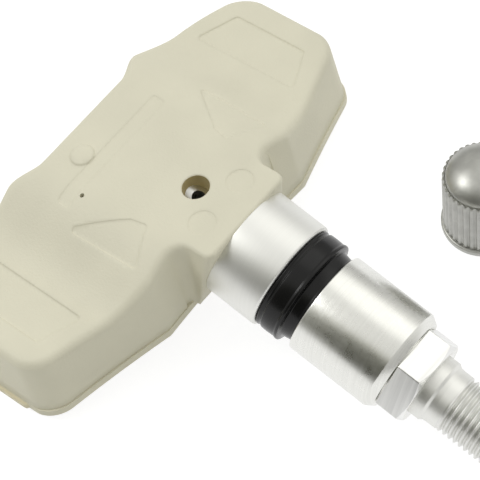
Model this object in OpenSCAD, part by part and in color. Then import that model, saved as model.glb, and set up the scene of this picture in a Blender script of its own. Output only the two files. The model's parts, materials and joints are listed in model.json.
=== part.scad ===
// Tyre pressure sensor with a clamp-in valve stem, lying on a table beside its valve cap.
// Three frames are used. The case frame has u forwards, y sideways and w up from the case's flat top,
// with its origin at the air hole. The stem frame has x along the stem towards its tip and starts at
// the barrel's front face. The table frame has Z up, with the origin under the middle of the whole.

/* [Case] */
// Reach of each wing from the stem's centre line
wing_reach = 29.4; // [27:0.1:33]
// Distance from the air hole back to the rear wall of the middle
back_reach = 19.7; // [18.5:0.1:23]
// How much further back the wings reach than the middle
wing_set_back = 2.3; // [0:0.1:3]
// Distance from the air hole forward to the front wall of the wings
front_reach = 3.4; // [2.8:0.1:5]
// How far the rear wall comes forward at the ends of the wings
back_taper = 3.8; // [0:0.1:4.5]
// How far the front wall goes back at the ends of the wings
front_taper = 5.5; // [0:0.1:6.5]
// Corner radius of the wings seen from above
corner_r = 3.4; // [3:0.1:4.5]
// Height of the raised middle, with the bottom cover
case_h = 15.3; // [14.5:0.1:18]
// How far the tops of the wings lie below the middle
wing_drop = 4.75; // [2:0.05:5.2]
// Half width of the flat top of the middle
flat_half = 8; // [7:0.1:10]
// Width of each slope between the middle and a wing
slope_w = 12; // [8:0.1:14]
// Further fall of the top of a wing towards its end
wing_fall = 0.5; // [0:0.05:0.8]
// Wall and roof thickness of the case
wall = 1.4; // [1:0.1:1.8]
// Rounding of the upper edges
edge_r = 1.2; // [0.6:0.1:1.4]
// How much wider the walls are at the bottom
draft = 0.2; // [0:0.05:0.4]
// Thickness of the bottom cover
cover_t = 1.1; // [0.8:0.1:1.5]
// How far the cover's end lips stand out
lip = 0.4; // [0.2:0.05:0.8]

/* [Neck] */
// Half width of the neck at the top
neck_half = 7.35; // [6.5:0.05:7.6]
// Extra half width of the neck at its underside
neck_draft = 0.9; // [0:0.05:1.2]
// Height of the neck's underside above the case's underside
neck_rise = 2.4; // [1.2:0.1:3.2]
// Depth of the neck behind its front face
neck_depth = 6.1; // [5:0.1:7]
// Fillet between the neck and the wings
neck_fillet = 1.8; // [1:0.1:2.4]

/* [Top details] */
// Diameter of the air hole
air_hole_d = 3.6; // [3:0.1:4]
// Diameter of the pressure inlet
inlet_d = 0.6; // [0.4:0.1:1]
// Radius of the raised dimple
dimple_r = 1.6; // [1:0.1:2]
// Height of the raised dimple
dimple_h = 0.5; // [0.3:0.05:0.8]
// Depth of the recessed fields
field_depth = 0.25; // [0.1:0.05:0.4]

/* [Stem] */
// Angle between the stem and the flat top of the case
stem_angle = 18; // [14:0.5:22]
// Height of the case's top over the stem's axis at the air hole
axis_depth = 4.65; // [4.4:0.05:5]
// Distance from the air hole forward to the barrel's front face
hole_to_barrel = 15.6; // [14.5:0.1:17]
// Radius of the barrel
barrel_r = 7.5; // [7.2:0.05:8]
// Length of the barrel in front of the neck
barrel_l = 7.5; // [6:0.1:9]
// Radius of the tail inside the case
tail_r = 2.45; // [2.2:0.05:2.6]
// Radius of the moulded-in collar on the tail
collar_r = 4.2; // [3.5:0.1:4.6]
// Thickness of the collar
collar_t = 1.2; // [0.8:0.1:1.5]
// Radius of the shaft that the nut runs on
shaft_r = 4.25; // [4.1:0.05:4.5]
// Length of the shaft from the barrel's front face
shaft_l = 23.2; // [22.5:0.1:25]
// Radius of the valve thread
valve_r = 3.85; // [3.7:0.05:4]
// Length of the taper between the shaft and the valve neck
taper_l = 1; // [0.5:0.1:1.5]
// Length of the plain valve neck
valve_neck_l = 1.4; // [1:0.1:2]
// Length of the valve thread
valve_thread_l = 10.4; // [9.8:0.1:12]
// Chamfer at the tip
tip_chamfer = 0.5; // [0.3:0.05:0.7]
// Radius of the air passage
passage_r = 1.1; // [0.9:0.05:1.2]
// Radius of the cross hole in the tail
cross_r = 0.9; // [0.7:0.05:1]

/* [Grommet] */
// Radius of the flange
flange_r = 7.15; // [6.8:0.05:7.4]
// Thickness of the flange
flange_t = 3.5; // [3:0.1:4]
// Radius of the collar at the flange
grommet_neck_r = 6.35; // [6:0.05:6.6]
// Length of the collar that passes through the wheel
grommet_neck_l = 1.3; // [1:0.1:2]

/* [Nut] */
// Radius of the sleeve
sleeve_r = 6.95; // [6.8:0.05:7.4]
// Length of the sleeve
sleeve_l = 12; // [11:0.1:13]
// Length of the chamfer in front of the sleeve
nut_chamfer_l = 1.3; // [0.8:0.1:1.6]
// Radial height of that chamfer
nut_chamfer_r = 1.1; // [0.8:0.1:1.4]
// Width across the flats of the hexagon
hex_af = 11.1; // [10.8:0.1:11.4]
// Length of the hexagon
hex_l = 3.6; // [3:0.1:4]
// Turn of the hexagon's corners about the stem
hex_turn = 56; // [0:1:60]
// Outer radius of the captive washer
washer_r = 5.8; // [5.5:0.05:6]
// Thickness of the captive washer
washer_t = 1; // [0.8:0.05:1.3]

/* [Valve core] */
// Radius of the thread of the core's plug
plug_r = 2.6; // [2.5:0.02:2.7]
// Length of the plug below its flats
plug_l = 2.5; // [2.2:0.1:3]
// Length of the plug's flats
flats_l = 1.2; // [0.9:0.1:1.4]
// Distance between the plug's flats
flats_w = 4.2; // [4.1:0.02:4.3]
// Depth of the plug below the tip
plug_depth = 0.5; // [0.3:0.05:0.8]
// Radius of the core's swivel spigot
spigot_r = 1.45; // [1.4:0.01:1.5]
// Radius of the core's barrel
core_r = 1.9; // [1.8:0.02:2]
// Length of the barrel between plug and gasket
core_upper_l = 2.65; // [2.3:0.05:3]
// Length of the gasket
gasket_l = 1.3; // [1.1:0.05:1.5]
// Length of the barrel below the gasket
core_lower_l = 1.7; // [1.5:0.05:2]
// Radius of the pin
pin_r = 0.5; // [0.4:0.02:0.6]
// Travel of the pin
pin_travel = 1.2; // [0.8:0.1:1.5]
// Radius of the spring's wire
wire_r = 0.13; // [0.1:0.01:0.15]
// Turns of the spring
spring_turns = 7; // [5:1:8]

/* [Electronics] */
// Percentage of the room in a wing's height taken by the pad on the cover
pad_share = 8.8; // [6:0.2:12]
// Percentage of that room taken by the potting under the board
potting_share = 29.4; // [24:0.2:32]
// Percentage of that room taken by the circuit board
board_share = 14.7; // [12:0.1:20]
// Thickness of the battery's tabs
tab_t = 0.2; // [0.1:0.05:0.25]
// Gap between the cell's upper tab and the roof of the wing
roof_gap = 0.15; // [0.1:0.05:0.3]
// Radius of the wire of the antenna coil
antenna_wire = 0.3; // [0.2:0.05:0.4]
// Gap between the antenna coil and the roof of the wing
antenna_gap = 0.45; // [0.3:0.05:0.8]

/* [Cap] */
// Radius over the ribs
cap_r = 5.2; // [5:0.05:5.6]
// Height up to the dome
cap_body_h = 11.2; // [10.2:0.1:12]
// Height of the dome
cap_dome_h = 2.4; // [1.5:0.1:3]
// Radius of the foot flange
cap_flange_r = 5.45; // [5.3:0.05:5.8]
// Height of the foot flange
cap_flange_h = 1; // [0.6:0.1:1.4]
// Number of ribs
cap_ribs = 36; // [24:2:48]
// Depth of the ribs
cap_rib_depth = 0.25; // [0.15:0.05:0.35]
// Depth of the thread hole
cap_bore_l = 8.6; // [7.5:0.1:9]
// Thickness of the seal inside
cap_seal_t = 1; // [0.8:0.1:1.2]
// Place of the cap in front of the barrel's front face
cap_ahead = 10.7; // [8:0.1:14]
// Place of the cap to the side of the stem
cap_aside = 25.3; // [24.5:0.1:30]

/* [Fits] */
// Gap round pieces that are moulded in
moulded_gap = 0.02; // [0.01:0.01:0.05]
// Gap between the grommet and its neighbours
seat_gap = 0.05; // [0.02:0.01:0.08]
// Radial gap of the threads and of turning pieces
running_gap = 0.05; // [0.03:0.01:0.08]
// Gap between the walls and what lies inside
inside_gap = 0.3; // [0.2:0.05:0.4]

/* [Hidden] */
$fn = 64;
eps = 0.01;

// Stations across the case: straight part in rows, then the rounded corners.
rows = 15;
corner_steps = 6;
round_steps = 4;
straight_y = wing_reach - corner_r;
half_y = concat(
    [for (i = [0:rows - 1]) straight_y * i / rows],
    [for (k = [0:corner_steps]) straight_y + corner_r * sin(90 * k / corner_steps)]
);
last_y = len(half_y) - 1;
station_y = concat([for (i = [last_y:-1:1]) -half_y[i]], half_y);
step_y = flat_half - 1;
step_w = 5;
back_taper_y = 15;
front_taper_y = 13.3;

function smooth(t) = let (c = max(0, min(1, t))) c * c * (3 - 2 * c);
function beyond(y, start) = max(0, abs(y) - start) / (wing_reach - start);
function corner_in(y) =
    let (s = max(0, abs(y) - straight_y)) corner_r - sqrt(max(0, corner_r * corner_r - s * s));
function top_at(y) =
    -wing_drop * smooth((abs(y) - flat_half) / slope_w) - wing_fall * beyond(y, flat_half + slope_w);
function back_line(y) =
    -back_reach - wing_set_back * smooth((abs(y) - step_y) / step_w)
    + back_taper * pow(beyond(y, back_taper_y), 2);
function front_line(y) = front_reach - front_taper * beyond(y, front_taper_y);
function back_at(y) = back_line(y) + corner_in(y);
function front_at(y) = front_line(y) - corner_in(y);
function middle_u(y) = (back_line(y) + front_line(y)) / 2;
function along(share) = back_reach * share / 100;
function across(share) = wing_reach * share / 100;

outline = concat(
    [for (y = station_y) [front_at(y), y]],
    [for (i = [len(station_y) - 1:-1:0]) [back_at(station_y[i]), station_y[i]]]
);
outline_n = len(outline);
stations = len(station_y);

// Each outline point moves along the mean of its two edge normals, so that walls keep their thickness.
function unit(v) = v / norm(v);
function left_of(v) = [-v[1], v[0]];
function edge_normal(i) =
    left_of(unit(outline[(i + 1) % outline_n] - outline[i % outline_n]));
function inward(i) =
    let (a = edge_normal(i + outline_n - 1), b = edge_normal(i)) (a + b) / (1 + a * b);
normals = [for (i = [0:outline_n - 1]) inward(i)];
function inset_outline(k) = [for (i = [0:outline_n - 1]) outline[i] + normals[i] * k];
function ring(k, drop) =
    [for (p = inset_outline(k)) [p[0], p[1], top_at(p[1]) - drop]];
function flat_ring(k, w) = [for (p = inset_outline(k)) [p[0], p[1], w]];

// A solid with the case's outline: inset walls, an underside at w, and a top that lies lower by drop.
module moulded(inset, low, drop, rounding, flare = 0) {
    round_rings = [
        for (k = [0:round_steps])
            let (a = 90 * k / round_steps)
                ring(inset + rounding * (1 - cos(a)), drop + rounding * (1 - sin(a)))
    ];
    rings = concat([flat_ring(inset - flare, low)], round_rings);
    n = outline_n;
    last = len(rings) - 1;
    sides = [
        for (r = [0:last - 1], i = [0:n - 1], half = [0:1])
            let (a = r * n + i, b = r * n + (i + 1) % n)
                half == 0 ? [a, a + n, b + n] : [a, b + n, b]
    ];
    lids = [
        for (j = [0:stations - 2], half = [0:1])
            let (f = j, g = j + 1, back = n - 1 - j, rear = n - 2 - j, t = last * n)
                half == 0 ? [f + t, back + t, rear + t] : [f + t, rear + t, g + t]
    ];
    floors = [
        for (j = [0:stations - 2], half = [0:1])
            let (f = j, g = j + 1, back = n - 1 - j, rear = n - 2 - j)
                half == 0 ? [f, rear, back] : [f, g, rear]
    ];
    polyhedron(points = [for (r = rings, p = r) p], faces = concat(sides, lids, floors), convexity = 6);
}

module plate(inset, low, high) {
    translate([0, 0, low]) linear_extrude(high - low) polygon(inset_outline(inset));
}

// Heights in the case frame. Pad, potting, board and cell share the room in the wings.
shell_low = -case_h + cover_t;
wing_roof = -wing_drop - wing_fall - wall;
shared_h = wing_roof - roof_gap - 3 * tab_t - shell_low;
pad_top = shell_low + shared_h * pad_share / 100;
board_low = pad_top + shared_h * potting_share / 100;
board_top = board_low + shared_h * board_share / 100;
cell_low = board_top + 2 * tab_t;
cell_t = wing_roof - roof_gap - tab_t - cell_low;
neck_h = case_h - neck_rise;
neck_low = -neck_h;

// Places in the stem frame, measured along the stem.
neck_x = -barrel_l;
hole_x = -hole_to_barrel;
cross_x = hole_x + axis_depth * sin(stem_angle) / 2.3;
tail_end_x = cross_x - 2.6;
collar_x = neck_x - 1.8;
valve_neck_x = shaft_l + taper_l;
valve_thread_x = valve_neck_x + valve_neck_l;
tip_x = valve_thread_x + valve_thread_l;
grommet_end_x = seat_gap + flange_t + grommet_neck_l;
nut_x = grommet_end_x + seat_gap;
chamfer_x = nut_x + sleeve_l;
hex_x = chamfer_x + nut_chamfer_l;
nut_end_x = hex_x + hex_l;
hex_corner_r = hex_af / 2 / cos(30);

// The sensor lies on the rear edge of the case and on whatever of the stem comes down first.
function case_to_stem(u, w) = [
    hole_x + u * cos(stem_angle) - w * sin(stem_angle),
    axis_depth + u * sin(stem_angle) + w * cos(stem_angle)
];
rear_foot = case_to_stem(-back_reach - wing_set_back - draft, -case_h);
front_feet = [
    [tip_x - tip_chamfer, -valve_r],
    [tip_x, tip_chamfer - valve_r],
    [chamfer_x, -sleeve_r],
    [nut_end_x, -hex_corner_r * max([for (k = [0:5]) -sin(hex_turn + 60 * k)])]
];
lie_angle = min([for (f = front_feet) atan((f[1] - rear_foot[1]) / (f[0] - rear_foot[0]))]);
function to_table_x(p) = p[0] * cos(lie_angle) + p[1] * sin(lie_angle);
function to_table_z(p) = p[1] * cos(lie_angle) - p[0] * sin(lie_angle);
lift = -to_table_z(rear_foot);
rear_end = min([
    for (y = half_y, d = [0:0.1:edge_r]) to_table_x(case_to_stem(back_at(y), top_at(y) - edge_r - d))
]);
front_end = to_table_x([tip_x, valve_r - tip_chamfer]);
centre_x = (rear_end + front_end) / 2;
centre_y = (cap_aside + cap_flange_r - wing_reach - lip) / 2;

module on_table() {
    translate([-centre_x, -centre_y, 0]) children();
}

module on_stem() {
    on_table() translate([0, 0, lift]) rotate([0, lie_angle, 0]) children();
}

module in_case() {
    on_stem() translate([hole_x, 0, axis_depth]) rotate([0, -stem_angle, 0]) children();
}

// Turns a profile of [radius, place along the stem] points about the stem.
module turned(points) {
    rotate([0, 90, 0]) rotate_extrude() polygon(points);
}

module bored(r, from, to) {
    translate([from, 0, 0]) rotate([0, 90, 0]) cylinder(r = r, h = to - from);
}

// Case shell

post_r = 1;
posts = [
    [-back_reach + wall + 0.6, 0],
    [front_reach - wall - 1.8, flat_half + 2.6],
    [front_reach - wall - 1.8, -flat_half - 2.6],
    [back_line(17) + wall + 2.2, 17]
];
inlet_u = along(-58.4);
inlet_y = across(-29.9);
dimple_u = -15.6;
dimple_y = -4.2;

module neck_profile(extra) {
    polygon([
        [-neck_half - neck_draft - extra, neck_low],
        [neck_half + neck_draft + extra, neck_low],
        [neck_half + extra, 0],
        [-neck_half - extra, 0]
    ]);
}

// Along u the block runs long at the rear, and the stem's own planes cut it at both ends.
module neck_block(from_x, to_x) {
    reach = hole_to_barrel + 6;
    intersection() {
        translate([-reach, 0, 0]) rotate([90, 0, 90]) linear_extrude(2 * reach) neck_profile(0);
        rotate([0, stem_angle, 0]) translate([from_x - hole_x, -2 * neck_half, -2 * neck_h - axis_depth])
            cube([to_x - from_x, 4 * neck_half, 4 * neck_h]);
    }
}

module neck_fillets() {
    top = -edge_r / 3;
    side_y = neck_half + neck_draft / 2;
    for (s = [-1, 1]) scale([1, s, 1]) {
        difference() {
            translate([front_reach - wall / 2, side_y - wall / 2, neck_low])
                cube([neck_fillet + wall / 2, neck_fillet + wall / 2, top - neck_low]);
            translate([front_reach + neck_fillet, side_y + neck_fillet, neck_low - eps])
                cylinder(r = neck_fillet, h = top - neck_low + 2 * eps);
        }
    }
}

module tail_socket() {
    bored(tail_r + moulded_gap, tail_end_x - 1, neck_x + 1);
    bored(collar_r + moulded_gap, collar_x - collar_t - moulded_gap, collar_x + moulded_gap);
}

// Recessed fields on the wings and the triangles beside the neck, all kept bare.
field = [[-16.5, 26.3], [-5, 26.4], [-2.2, 20.7], [-18.8, 20.4]];
triangle = [[-11.3, 13.1], [-3.8, 8.1], [-1.4, 7.6], [0.7, 12.8]];
bar = [[-14.1, -11], [-12.1, -11], [-12.1, 8], [-14.1, 8]];
ejector_u = 4.2;
ejector_y = 3.65;
ejector_r = 1.7;
ejector_depth = 0.1;

module recesses() {
    field_slope = atan(wing_fall / (wing_reach - flat_half - slope_w));
    field_y = 20.4;
    triangle_y = 7.6;
    triangle_low = top_at(13.1) - field_depth;
    triangle_slope = atan((-2 * field_depth - triangle_low) / (13.1 - triangle_y));
    for (s = [-1, 1]) scale([1, s, 1]) {
        translate([0, field_y, top_at(field_y) - field_depth]) rotate([-field_slope, 0, 0])
            translate([0, -field_y, 0]) linear_extrude(2) polygon(field);
        translate([0, triangle_y, -2 * field_depth]) rotate([-triangle_slope, 0, 0])
            translate([0, -triangle_y, 0]) linear_extrude(3) polygon(triangle);
    }
    translate([0, 0, -field_depth / 2]) linear_extrude(2) polygon(bar);
    for (s = [-1, 1]) translate([ejector_u, s * ejector_y, -ejector_depth]) cylinder(r = ejector_r, h = 2);
}

module case_shell() {
    color([0.86, 0.84, 0.76]) in_case() {
        difference() {
            union() {
                moulded(0, shell_low, 0, edge_r, draft);
                neck_block(neck_x - neck_depth, neck_x);
                neck_fillets();
                translate([dimple_u, dimple_y, -dimple_r]) intersection() {
                    cylinder(r = dimple_r, h = dimple_r + dimple_h);
                    translate([0, 0, dimple_r + dimple_h - 3 * dimple_r]) sphere(r = 3 * dimple_r);
                }
            }
            difference() {
                moulded(wall, shell_low - 1, wall, wall / 4);
                neck_block(neck_x - neck_depth, neck_x);
                for (p = posts) translate([p[0], p[1], board_top]) cylinder(r = post_r, h = case_h);
            }
            translate([0, 0, -wall - 1]) cylinder(d = air_hole_d, h = wall + 2);
            translate([inlet_u, inlet_y, -wall - 1]) cylinder(d = inlet_d, h = wall + 2);
            rotate([0, stem_angle, 0]) translate([-hole_x, 0, -axis_depth]) tail_socket();
            recesses();
        }
    }
}

module bottom_cover() {
    end_u0 = back_at(wing_reach) + 0.4;
    end_u1 = front_at(wing_reach) - 0.2;
    color([0.84, 0.81, 0.68]) in_case() {
        plate(-draft, -case_h, shell_low);
        plate(wall + inside_gap / 2, shell_low - eps, pad_top);
        for (s = [-1, 1]) scale([1, s, 1])
            translate([end_u0, wing_reach - wall, -case_h])
                cube([end_u1 - end_u0, wall + lip, cover_t * 0.8]);
    }
}

// A plate inside the walls, notched for the part of the neck that reaches into the case.
module notched_plate(gap, low, high) {
    neck_back = (neck_x - neck_depth - hole_x + neck_low * sin(stem_angle)) / cos(stem_angle) - gap;
    half = neck_half + neck_draft + gap;
    difference() {
        plate(wall + gap, low, high);
        translate([neck_back, -half, low - 1]) cube([2 * neck_depth, 2 * half, high - low + 2]);
    }
}

module potting_fill() {
    color([0.25, 0.24, 0.22]) in_case() notched_plate(moulded_gap, pad_top, board_low);
}

module circuit_board() {
    color([0.1, 0.35, 0.2]) in_case() notched_plate(inside_gap, board_low, board_top);
}

// Electronics on the board

// Heights over the board are percentages of the room between it and the roof of a wing.
function above(share) = (wing_roof - board_top) * share / 100;

// A block on the board, with its corner and its sides as percentages of the case's reach and of that room.
module block(u, y, l, w, h, lifted = 0) {
    translate([along(u), across(y), board_top + above(lifted)]) cube([along(l), across(w), above(h)]);
}

pressure_chip_h = above(45);
pressure_chip_u = inlet_u;
pressure_chip_y = inlet_y + across(4);
tab_foot = 0.8;

// The cell takes the room between the wing's end wall and the foot of its tab beside the pressure chip.
chip_l = along(25);
chip_w = across(17);
cell_outer = wing_reach - wall - 2 * inside_gap;
cell_inner = chip_w / 2 - pressure_chip_y + tab_foot + inside_gap * 5 / 3;
cell_mid = (cell_outer + cell_inner) / 2;
cell_along = (front_line(cell_mid) - back_line(cell_mid)) / 2 - wall - 3 * inside_gap;
cell_r = min((cell_outer - cell_inner) / 2, cell_along);
cell_y = -cell_inner - cell_r;
cell_u = middle_u(cell_y);
tab_w = cell_r / 2;
groove = cell_r / 10;

module battery_cell() {
    color([0.75, 0.76, 0.77]) in_case() translate([cell_u, cell_y, cell_low]) {
        difference() {
            cylinder(r = cell_r, h = cell_t);
            translate([0, 0, -eps]) difference() {
                cylinder(r = cell_r + 1, h = groove / 2);
                translate([0, 0, -eps]) cylinder(r = cell_r - groove, h = groove);
            }
        }
    }
}

module battery_minus_tab() {
    color([0.8, 0.8, 0.78]) in_case()
        translate([cell_u - tab_w / 2, cell_y - cell_r / 2, board_top])
        cube([tab_w, cell_r * 0.9, 2 * tab_t]);
}

// The strip runs over the cell, then down beside it to the board.
module battery_plus_tab() {
    foot_y = cell_y + cell_r + inside_gap;
    high = cell_low + cell_t + tab_t;
    color([0.8, 0.8, 0.78]) in_case() translate([cell_u - 1.5 * tab_w, 0, 0]) rotate([90, 0, 90])
        linear_extrude(tab_w) polygon([
            [cell_y, high - tab_t], [foot_y, high - tab_t], [foot_y, board_top],
            [foot_y + tab_foot, board_top], [foot_y + tab_foot, board_top + tab_t],
            [foot_y + tab_t, board_top + tab_t], [foot_y + tab_t, high], [cell_y, high]
        ]);
}

module pressure_chip() {
    color([0.15, 0.15, 0.16]) in_case() difference() {
        translate([pressure_chip_u - chip_l / 2, pressure_chip_y - chip_w / 2, board_top])
            cube([chip_l, chip_w, pressure_chip_h]);
        translate([inlet_u, inlet_y, board_top + pressure_chip_h - 0.6]) cylinder(r = 0.5, h = 1);
    }
}

module inlet_seal() {
    low = board_top + pressure_chip_h;
    seal_r = 1.1;
    color([0.7, 0.3, 0.2]) in_case() translate([inlet_u, inlet_y, low]) difference() {
        cylinder(r = seal_r, h = top_at(inlet_y - seal_r) - wall - low);
        translate([0, 0, -eps]) cylinder(r = 0.5, h = case_h);
    }
}

module processor_chip() {
    color([0.12, 0.12, 0.13]) in_case() {
        block(-66, 7.5, 35.6, 23.8, 35);
        for (i = [0:5], y = [5.5, 31.3]) block(-63 + 5.4 * i, y, 2, 2, 12);
    }
}

module crystal_can() {
    color([0.8, 0.8, 0.82]) in_case() block(-88, 11.6, 16, 17, 33);
}

module receiver_coil() {
    color([0.2, 0.18, 0.17]) in_case() {
        for (y = [39.5, 45.9]) block(-78.7, y, 40.6, 3.4, 60);
        block(-73.6, 40.1, 30.5, 8.6, 50, 5);
    }
}

module roll_switch() {
    switch_r = above(40);
    color([0.78, 0.68, 0.4]) in_case() {
        translate([along(-22.8), across(49), board_top + switch_r]) rotate([90, 0, 0])
            cylinder(r = switch_r, h = across(17.7));
        block(-27, 32.7, 8.4, 15, 15);
    }
}

module coil(r, wire, turns, l, sides, per_turn) {
    steps = turns * per_turn;
    pts = [
        for (i = [0:steps], j = [0:sides - 1])
            let (a = 360 * i / per_turn, b = 360 * j / sides, q = r + wire * cos(b))
                [q * cos(a), q * sin(a), l * i / steps + wire * sin(b)]
    ];
    skin = [
        for (i = [0:steps - 1], j = [0:sides - 1], half = [0:1])
            let (a = i * sides + j, b = i * sides + (j + 1) % sides)
                half == 0 ? [a, b, b + sides] : [a, b + sides, a + sides]
    ];
    ends = [[for (j = [sides - 1:-1:0]) j], [for (j = [0:sides - 1]) steps * sides + j]];
    polyhedron(points = pts, faces = concat(skin, ends), convexity = 8);
}

antenna_r = (above(100) - antenna_gap - 3 * antenna_wire) / 2;
antenna_l = along(50);
antenna_y = across(80.2);
antenna_w = board_top + antenna_r + 2 * antenna_wire;

module antenna_coil() {
    from_u = middle_u(antenna_y) - antenna_l / 2;
    color([0.72, 0.42, 0.22]) in_case() {
        translate([from_u, antenna_y, antenna_w]) rotate([0, 90, 0])
            coil(antenna_r, antenna_wire, 7, antenna_l, 6, 12);
        for (u = [from_u, from_u + antenna_l]) translate([u, antenna_y, board_top])
            cylinder(r = antenna_wire, h = antenna_w - antenna_r - board_top);
    }
}

// Capacitors and resistors in rows between the large parts.
module small_parts() {
    color([0.55, 0.45, 0.32]) in_case() {
        for (i = [0:5]) block(-68.5 + 9.1 * i, 55.1, 5.1, 5.4, 18);
        for (i = [0:4]) block(-83.8 + 9.1 * i, 64, 5.1, 5.4, 15);
        for (i = [0:3]) block(-22, -19 + 8.2 * i, 8, 3, 15);
    }
}

// Stem and what sits on it

chamber_r = plug_r + running_gap;
lower_bore_r = core_r + 0.15;

function depth(d) = tip_x - d;

plug_low = plug_depth + flats_l + plug_l;
core_top = plug_low + running_gap;
gasket_top = core_top + core_upper_l;
gasket_low = gasket_top + gasket_l;
core_low = gasket_low + core_lower_l;
seat_from = gasket_top + 0.25;
seat_to = gasket_low;
seal_t = 0.5;
cup_t = 0.4;
seal_top = core_low + running_gap;
cup_low = seal_top + seal_t + cup_t;
pin_low = cup_low + 0.3;
room_below_pin = 3.65;
lower_bore_l = pin_low - seat_to + pin_travel + room_below_pin;

module valve_stem() {
    color([0.78, 0.78, 0.79]) on_stem() difference() {
        turned([
            [0, tail_end_x], [tail_r - 0.3, tail_end_x], [tail_r, tail_end_x + 0.3],
            [tail_r, collar_x - collar_t], [collar_r, collar_x - collar_t], [collar_r, collar_x],
            [tail_r, collar_x], [tail_r, neck_x], [barrel_r, neck_x],
            [barrel_r, -0.4], [barrel_r - 0.12, -0.12], [barrel_r - 0.4, 0],
            [shaft_r, 0], [shaft_r, shaft_l], [shaft_r - 0.25, shaft_l + taper_l * 0.4],
            [valve_r, valve_neck_x], [valve_r, tip_x - tip_chamfer],
            [valve_r - tip_chamfer, tip_x], [0, tip_x]
        ]);
        bored(chamber_r, depth(seat_from), depth(-1));
        turned([
            [0, depth(seat_to + eps)], [lower_bore_r, depth(seat_to + eps)], [lower_bore_r, depth(seat_to)],
            [chamber_r, depth(seat_from)], [chamber_r, depth(seat_from - eps)], [0, depth(seat_from - eps)]
        ]);
        bored(lower_bore_r, depth(seat_to + lower_bore_l), depth(seat_to));
        bored(passage_r, cross_x, depth(seat_to + lower_bore_l - eps));
        translate([cross_x, 0, -2 * tail_r]) cylinder(r = cross_r, h = 4 * tail_r);
    }
}

module grommet() {
    from = seat_gap;
    to = seat_gap + flange_t;
    inner = shaft_r + seat_gap;
    color([0.07, 0.07, 0.07]) on_stem() turned([
        [inner, from], [flange_r - 0.25, from], [flange_r, from + 0.2], [flange_r - 0.12, from + 0.45],
        [flange_r - 0.12, from + 0.7], [flange_r, from + 0.95], [flange_r + 0.03, (from + to) / 2],
        [flange_r - 0.05, to - 0.6], [flange_r + 0.08, to - 0.35], [flange_r - 0.1, to],
        [grommet_neck_r, to], [grommet_neck_r - 0.2, grommet_end_x], [inner, grommet_end_x]
    ]);
}

washer_inner = shaft_r + 2 * running_gap;
washer_end_x = nut_x + washer_t;

module thrust_washer() {
    color([0.7, 0.71, 0.72]) on_stem() turned([
        [washer_inner, nut_x], [washer_r - 0.15, nut_x], [washer_r, nut_x + 0.15],
        [washer_r, washer_end_x], [washer_inner, washer_end_x]
    ]);
}

module clamp_nut() {
    bore = shaft_r + running_gap;
    pocket_r = washer_r + running_gap;
    hex_chamfer = 0.5;
    hex_face_r = hex_af / 2 - 0.1;
    hex_clear = 1;
    chamfer_reach = hex_chamfer * (1 + hex_clear / (hex_corner_r - hex_face_r));
    color([0.82, 0.82, 0.83]) on_stem() difference() {
        union() {
            turned([
                [0, nut_x], [sleeve_r - 0.3, nut_x], [sleeve_r, nut_x + 0.3], [sleeve_r, chamfer_x],
                [sleeve_r - nut_chamfer_r, hex_x], [0, hex_x]
            ]);
            intersection() {
                translate([chamfer_x, 0, 0]) rotate([0, 90, 0]) rotate([0, 0, -hex_turn - 90])
                    cylinder(r = hex_corner_r, h = nut_chamfer_l + hex_l + hex_clear, $fn = 6);
                turned([
                    [0, chamfer_x - hex_clear], [hex_corner_r + hex_clear, chamfer_x - hex_clear],
                    [hex_corner_r + hex_clear, nut_end_x - chamfer_reach],
                    [hex_face_r, nut_end_x], [0, nut_end_x]
                ]);
            }
        }
        bored(bore, nut_x - 1, nut_end_x + 1);
        bored(pocket_r, nut_x - 1, washer_end_x + running_gap);
        turned([
            [0, nut_end_x - 0.35], [bore - eps, nut_end_x - 0.35],
            [bore + 0.4, nut_end_x + eps], [0, nut_end_x + eps]
        ]);
    }
}

// Valve core, from the tip inwards

plug_bore_r = spigot_r + running_gap;
flare_r = spigot_r + 0.3;
flare_top = plug_depth + flats_l;
flare_t = 0.5;
plug_recess_r = flare_r + 2 * running_gap;
plug_shoulder = flare_top + flare_t + 2 * running_gap;
spring_chamber_r = spigot_r - 0.3;
spring_floor = gasket_low + 0.3;
floor_t = 0.6;
cup_seat_r = core_r - 0.35;
gasket_bore_r = core_r - 0.4;

module core_plug() {
    color([0.78, 0.66, 0.36]) on_stem() difference() {
        union() {
            bored(plug_r, depth(plug_low), depth(plug_depth + flats_l));
            intersection() {
                bored(plug_r - 0.15, depth(plug_depth + flats_l + eps), depth(plug_depth));
                translate([depth(plug_depth + flats_l + 1), -flats_w / 2, -plug_r])
                    cube([flats_l + 2, flats_w, 2 * plug_r]);
            }
        }
        bored(plug_bore_r, depth(plug_low + 1), depth(-1));
        bored(plug_recess_r, depth(plug_shoulder), depth(-1));
    }
}

module core_barrel() {
    color([0.74, 0.62, 0.34]) on_stem() difference() {
        turned([
            [0, depth(core_low)], [core_r, depth(core_low)], [core_r, depth(gasket_low)],
            [gasket_bore_r, depth(gasket_low)], [gasket_bore_r, depth(gasket_top)],
            [core_r, depth(gasket_top)], [core_r, depth(core_top)],
            [spigot_r, depth(core_top)], [spigot_r, depth(flare_top + flare_t)],
            [flare_r, depth(flare_top + flare_t)], [flare_r, depth(flare_top)], [0, depth(flare_top)]
        ]);
        bored(spring_chamber_r, depth(spring_floor), depth(0));
        bored(pin_r + running_gap, depth(core_low + 1), depth(0));
        bored(cup_seat_r - 0.3, depth(core_low + 1), depth(spring_floor + floor_t));
        translate([depth(spring_floor - 0.5), 0, -2 * core_r]) cylinder(r = 0.35, h = 4 * core_r, $fn = 24);
    }
}

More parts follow.
